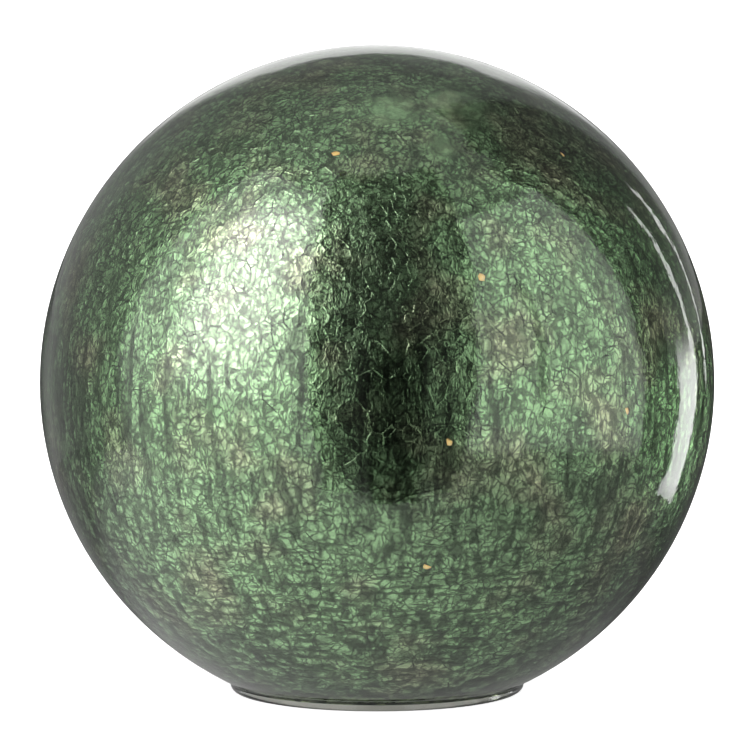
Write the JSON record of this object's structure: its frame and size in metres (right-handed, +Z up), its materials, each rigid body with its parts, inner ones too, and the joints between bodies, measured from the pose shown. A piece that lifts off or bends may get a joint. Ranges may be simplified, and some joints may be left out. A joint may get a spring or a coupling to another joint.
{
  "type": "light-up glass ball",
  "caption": "Silvered green crackle-glass ball on a short clear foot, lit from inside, with a plastic battery base, door and slide switch in the foot's opening.",
  "frame": {"origin": "centre of the glass foot, on the surface it stands on", "axes": "+Z up through the ball's centre; the pictured side faces -Y; the switch is on the +Y side of the underside and slides along X"},
  "size_m": [0.2, 0.2, 0.192],
  "materials": {
    "silvered_crackle_glass": "clear crackle glass, silvered green inside, glossy",
    "base_plastic": "fine moulded texture, off-white",
    "screw_steel": "zinc-plated",
    "switch_plastic": "satin moulded, black"
  },
  "bodies": {
    "ball": {"glass_ball": "silvered_crackle_glass", "battery_base": "base_plastic", "battery_door": "base_plastic", "door_screw": "screw_steel"},
    "switch": {"switch_knob": "switch_plastic"}
  },
  "joints": [
    {"name": "switch_slide", "type": "slide", "parent": "ball", "child": "switch", "axis": [1, 0, 0], "range_m": [0, 0.003]}
  ]
}
